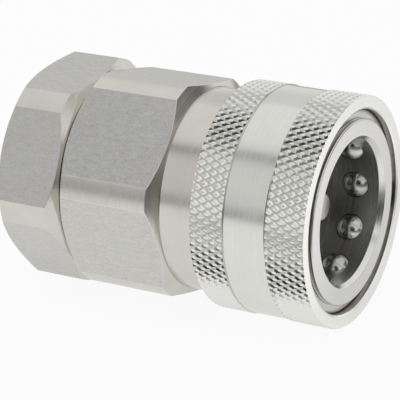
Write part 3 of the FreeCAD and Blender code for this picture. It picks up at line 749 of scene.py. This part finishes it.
def makePoppet():
    coneSum = poppet["coneX"] + poppet["headRadius"]  # the cone falls one to one
    outline = [
        (poppet["stemEnd"], 0.0),
        (poppet["stemEnd"], poppet["stemRadius"] - poppet["corner"]),
        (poppet["stemEnd"] + poppet["corner"], poppet["stemRadius"]),
        (poppet["pilotX"], poppet["stemRadius"]),
        (poppet["pilotX"], poppet["pilotRadius"]),
        (poppet["headBack"], poppet["pilotRadius"]),
        (poppet["headBack"], poppet["headRadius"]),
        (poppet["coneX"], poppet["headRadius"]),
        (poppet["grooveRear"], coneSum - poppet["grooveRear"]),
        (poppet["grooveRear"], poppet["grooveRadius"]),
        (poppet["grooveFront"], poppet["grooveRadius"]),
        (poppet["grooveFront"], coneSum - poppet["grooveFront"]),
        (poppet["frontX"], poppet["frontRadius"]),
        (poppet["frontX"], poppet["flareRadius"]),
        (poppet["flareX"], poppet["tipRadius"]),
        (poppet["tipX"] - poppet["corner"], poppet["tipRadius"]),
        (poppet["tipX"], poppet["tipRadius"] - poppet["corner"]),
        (poppet["tipX"], 0.0),
    ]
    bm = spinOutline(outline, poppet["steps"], closed=False)
    easeEdges(bm, poppet["edge"], poppet["edgeLimit"])
    makePiece(bm, "poppet_turned", valveFinish, "valve", ["valve_poppet"])


makePoppet()


# Locking balls, each where its node is

ball = {"radius": 3.375, "rounds": 5, "smoothAngle": 60}


def makeBall(number):
    node = "locking_ball_" + number
    low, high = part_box(node)
    bm = bmesh.new()
    bmesh.ops.create_icosphere(bm, subdivisions=ball["rounds"], radius=ball["radius"])
    bmesh.ops.translate(bm, vec=(low + high) / 2 / mm, verts=bm.verts[:])
    makePiece(bm, "lock_ball_" + number, ballFinish, "ball_" + number, [node],
              ball["smoothAngle"])


for k in range(coupler["ballCount"]):
    makeBall(f"{k + 1:02d}")


# Snap ring that stops the sleeve, of rounded wire with a gap

stopRing = {"rearX": 75.05, "frontX": 76.15, "innerRadius": 19.65, "outerRadius": 22.59, "gap": 14.0,
            "gapTurn": 90, "roundness": 0.5, "corners": 20, "steps": 144, "smoothAngle": 50}


def makeStopRing():
    halfWide = (stopRing["frontX"] - stopRing["rearX"]) / 2
    halfTall = (stopRing["outerRadius"] - stopRing["innerRadius"]) / 2
    section = []
    for k in range(stopRing["corners"]):
        turn = fullTurn * (k + 0.5) / stopRing["corners"]
        along, out = math.cos(turn), math.sin(turn)
        section.append((halfWide * math.copysign(abs(along) ** stopRing["roundness"], along),
                        halfTall * math.copysign(abs(out) ** stopRing["roundness"], out)))
    bm = coilOutline(section, stopRing["rearX"] + halfWide, stopRing["innerRadius"] + halfTall,
                     turns=1 - stopRing["gap"] / 360, lead=0.0, stepsPerTurn=stopRing["steps"])
    aside = Matrix.Rotation(math.radians(stopRing["gapTurn"]), 3, "X")
    bmesh.ops.rotate(bm, cent=(0, 0, 0), matrix=aside, verts=bm.verts[:])
    makePiece(bm, "stop_ring_wire", ringFinish, "body", ["sleeve_stop_ring"],
              stopRing["smoothAngle"])


makeStopRing()


# Springs of round wire

springs = {
    "valve": {"startX": 28.3, "endX": 42.076, "coilRadius": 5.4, "wire": 1.4, "turns": 4.5,
              "body": "body", "joint": "valve_slide", "node": "valve_spring"},
    "sleeve": {"startX": 53.0, "endX": 65.525, "coilRadius": 21.9, "wire": 1.6, "turns": 3.5,
               "body": "spring_turn", "joint": "sleeve_slide", "node": "sleeve_spring"},
}
springWire = {"travel": 7.0, "corners": 14, "stepsPerTurn": 48, "smoothAngle": 50}


def makeSpring(label):
    spring = springs[label]
    wireRadius = spring["wire"] / 2
    angles = [fullTurn * k / springWire["corners"] for k in range(springWire["corners"])]
    section = [(wireRadius * math.cos(angle), wireRadius * math.sin(angle)) for angle in angles]
    length = spring["endX"] - spring["startX"]
    lead = (length - spring["wire"]) / spring["turns"]
    bm = coilOutline(section, spring["startX"] + wireRadius, spring["coilRadius"], spring["turns"], lead,
                     springWire["stepsPerTurn"])
    piece = makePiece(bm, label + "_spring_coil", springFinish, spring["body"],
                      [spring["node"]], springWire["smoothAngle"])
    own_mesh(piece)


for label in springs:
    makeSpring(label)


# CAD nodes that stay get their finish

stayingNodes = {
    "valve_guide": valveFinish,
    "adapter_seal": rubberFinish,
    "poppet_seal": rubberFinish,
    "socket_seal": rubberFinish,
    "seal_backup_ring": backupFinish,
}
for name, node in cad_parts.items():
    if name in stayingNodes:
        node.data.materials.clear()
        node.data.materials.append(stayingNodes[name])
print("kept nodes finished")


# Floor of white paper, which metal sees darker far away, at its right and in the part's own shade

paper = {
    "z": -0.02595, "size": 6.0, "white": 0.95, "glow": 0.92,
    "far": (0.175, 0.45), "farDim": 0.42,
    "right": (0.115, 0.16), "rightLean": 0.5, "rightDim": 0.2,
    "shadeFront": (-0.022, 0.004), "shadeRight": (0.084, 0.094), "shadeLean": 0.3, "shade": 0.24,
}


def paperStrength(tree):
    where = tree.nodes.new("ShaderNodeTexCoord").outputs["Object"]
    reach = tree.nodes.new("ShaderNodeVectorMath")
    reach.operation = "LENGTH"
    tree.links.new(where, reach.inputs[0])
    split = tree.nodes.new("ShaderNodeSeparateXYZ")
    tree.links.new(where, split.inputs[0])
    x, y = split.outputs["X"], split.outputs["Y"]
    far = addFade(tree, reach.outputs["Value"], paper["far"], 1.0, paper["farDim"])
    across = addMath(tree, "SUBTRACT", x, addMath(tree, "MULTIPLY", y, paper["rightLean"]))
    right = addFade(tree, across, paper["right"], 1.0, paper["rightDim"])
    along = addMath(tree, "SUBTRACT", x, addMath(tree, "MULTIPLY", y, paper["shadeLean"]))
    beside = addFade(tree, along, paper["shadeRight"], 1.0, 0.0)
    behind = addFade(tree, y, paper["shadeFront"], 0.0, paper["shade"])
    shade = addMath(tree, "SUBTRACT", 1.0, addMath(tree, "MULTIPLY", beside, behind))
    return addMath(tree, "MULTIPLY", addMath(tree, "MULTIPLY", far, right), shade)


def makeFloor():
    bm = bmesh.new()
    bmesh.ops.create_grid(bm, x_segments=1, y_segments=1, size=paper["size"] / 2)
    bmesh.ops.translate(bm, vec=(0, 0, paper["z"]), verts=bm.verts[:])
    mesh = bpy.data.meshes.new("floor")
    bm.to_mesh(mesh)
    bm.free()
    floor = bpy.data.objects.new("floor", mesh)
    bpy.context.scene.collection.objects.link(floor)
    material = bpy.data.materials.new("floor_white")
    material.use_nodes = True
    tree = material.node_tree
    tree.nodes.clear()
    out = tree.nodes.new("ShaderNodeOutputMaterial")
    matt = tree.nodes.new("ShaderNodeBsdfDiffuse")
    matt.inputs["Color"].default_value = (paper["white"], paper["white"], paper["white"], 1.0)
    glow = tree.nodes.new("ShaderNodeEmission")
    rays = tree.nodes.new("ShaderNodeLightPath").outputs
    strength = addMath(tree, "MAXIMUM", paperStrength(tree), rays["Is Camera Ray"])
    tree.links.new(strength, glow.inputs["Strength"])
    mirrored = addMath(tree, "MAXIMUM", rays["Is Glossy Ray"], rays["Is Transmission Ray"])
    seen = addMath(tree, "MAXIMUM", rays["Is Camera Ray"], mirrored)
    mix = tree.nodes.new("ShaderNodeMixShader")
    tree.links.new(addMath(tree, "MULTIPLY", seen, paper["glow"]), mix.inputs[0])
    tree.links.new(matt.outputs[0], mix.inputs[1])
    tree.links.new(glow.outputs[0], mix.inputs[2])
    tree.links.new(mix.outputs[0], out.inputs["Surface"])
    mesh.materials.append(material)


# Light tent, brighter towards its right end, with three dark places that the metal shows

tent = {
    # angle from the front over the top to the back, and grey level
    "panels": [(-180, 0.80), (-2, 0.52), (3, 0.52), (9, 0.75), (20, 0.76), (40, 0.77),
               (50, 0.74), (56, 0.43), (62, 0.43), (67, 0.63), (76, 0.68), (110, 0.72), (124, 0.72),
               (130, 0.79), (139, 0.75), (150, 0.76), (165, 0.83), (180, 0.80)],
    "rightGain": 0.25, "evenX": -0.46,  # where the gain is nought
    "front": (0.40, -0.90, 0.18), "frontRim": (0.85, 0.935), "frontDark": 0.03,
    "end": (1.0, -0.06, 0.0), "endRim": (0.965, 0.985), "endDark": 0.15,
    "back": (0.72, 0.57, 0.39), "backRim": (0.88, 0.96), "backTop": (0.44, 0.56), "backDark": 0.12,
}


def addFacing(tree, where, direction):
    node = tree.nodes.new("ShaderNodeVectorMath")
    node.operation = "DOT_PRODUCT"
    node.inputs[1].default_value = direction
    tree.links.new(where, node.inputs[0])
    return node.outputs["Value"]


def addPanels(tree, split):
    towardsFront = addMath(tree, "MULTIPLY", split.outputs["Y"], -1.0)
    angle = addMath(tree, "ARCTAN2", split.outputs["Z"], towardsFront)
    ramp = tree.nodes.new("ShaderNodeValToRGB")
    tree.links.new(addMath(tree, "ADD", addMath(tree, "DIVIDE", angle, fullTurn), 0.5), ramp.inputs[0])
    steps = ramp.color_ramp.elements
    while len(steps) < len(tent["panels"]):
        steps.new(0.5)
    for step, (degrees, grey) in zip(steps, tent["panels"]):
        step.position = degrees / 360 + 0.5
        step.color = (grey, grey, grey, 1.0)
    return ramp.outputs["Color"]


def makeSky():
    world = bpy.data.worlds.new("studio")
    world.use_nodes = True
    bpy.context.scene.world = world
    tree = world.node_tree
    backdrop = tree.nodes["Background"]
    where = tree.nodes.new("ShaderNodeTexCoord").outputs["Generated"]
    split = tree.nodes.new("ShaderNodeSeparateXYZ")
    tree.links.new(where, split.inputs[0])
    # the camera itself sees plain white
    direct = tree.nodes.new("ShaderNodeLightPath").outputs["Is Camera Ray"]
    tone = addMix(tree, direct, addPanels(tree, split), (1.0, 1.0, 1.0, 1.0))
    tree.links.new(tone, backdrop.inputs["Color"])
    tilt = addMath(tree, "MULTIPLY", split.outputs["X"], tent["rightGain"])
    light = addMath(tree, "ADD", tilt, 1.0 - tent["evenX"] * tent["rightGain"])
    front = addFade(tree, addFacing(tree, where, tent["front"]), tent["frontRim"], 1.0, tent["frontDark"])
    end = addFade(tree, addFacing(tree, where, tent["end"]), tent["endRim"], 1.0, tent["endDark"])
    towards = addFacing(tree, where, tent["back"])
    beside = addFade(tree, towards, tent["backRim"], 0.0, 1.0 - tent["backDark"])
    below = addFade(tree, split.outputs["Z"], tent["backTop"], 1.0, 0.0)
    back = addMath(tree, "SUBTRACT", 1.0, addMath(tree, "MULTIPLY", beside, below))
    for dark in (front, back, end):
        light = addMath(tree, "MULTIPLY", light, dark)
    light = addMath(tree, "MULTIPLY", light, addMath(tree, "SUBTRACT", 1.0, direct))
    tree.links.new(addMath(tree, "ADD", light, direct), backdrop.inputs["Strength"])


# Lamp and camera

overhead = {"at": (-0.20, 0.06, 0.75), "size": 0.92, "power": 0.6}


def makeLamp():
    light = bpy.data.lights.new("overhead", "AREA")
    light.size = overhead["size"]
    light.energy = overhead["power"]
    lamp = bpy.data.objects.new("overhead", light)
    lamp.location = overhead["at"]
    bpy.context.scene.collection.objects.link(lamp)


camera = {"azimuth": 29.06, "elevation": 18.64, "target": (40.8, 0.0, 0.0), "distance": 452.9,
          "right": -1.41, "up": -2.98, "lens": 180.0, "sensor": 36.0, "clip": (0.01, 50.0)}


def makeCamera():
    turn, rise = math.radians(camera["azimuth"]), math.radians(camera["elevation"])
    back = Vector((math.sin(turn) * math.cos(rise), -math.cos(turn) * math.cos(rise), math.sin(rise)))
    right = Vector((math.cos(turn), math.sin(turn), 0.0))
    up = back.cross(right)
    middle = Vector(camera["target"]) + right * camera["right"] + up * camera["up"]
    data = bpy.data.cameras.new("camera")
    data.lens = camera["lens"]
    data.sensor_width = camera["sensor"]
    data.clip_start, data.clip_end = camera["clip"]
    view = bpy.data.objects.new("camera", data)
    view.location = (middle + back * camera["distance"]) * mm
    view.rotation_mode = "QUATERNION"
    view.rotation_quaternion = (-back).to_track_quat("-Z", "Y")
    bpy.context.scene.collection.objects.link(view)
    bpy.context.scene.camera = view


makeFloor()
makeSky()
makeLamp()
makeCamera()
bpy.context.scene.view_settings.view_transform = "Standard"
print("studio ready")
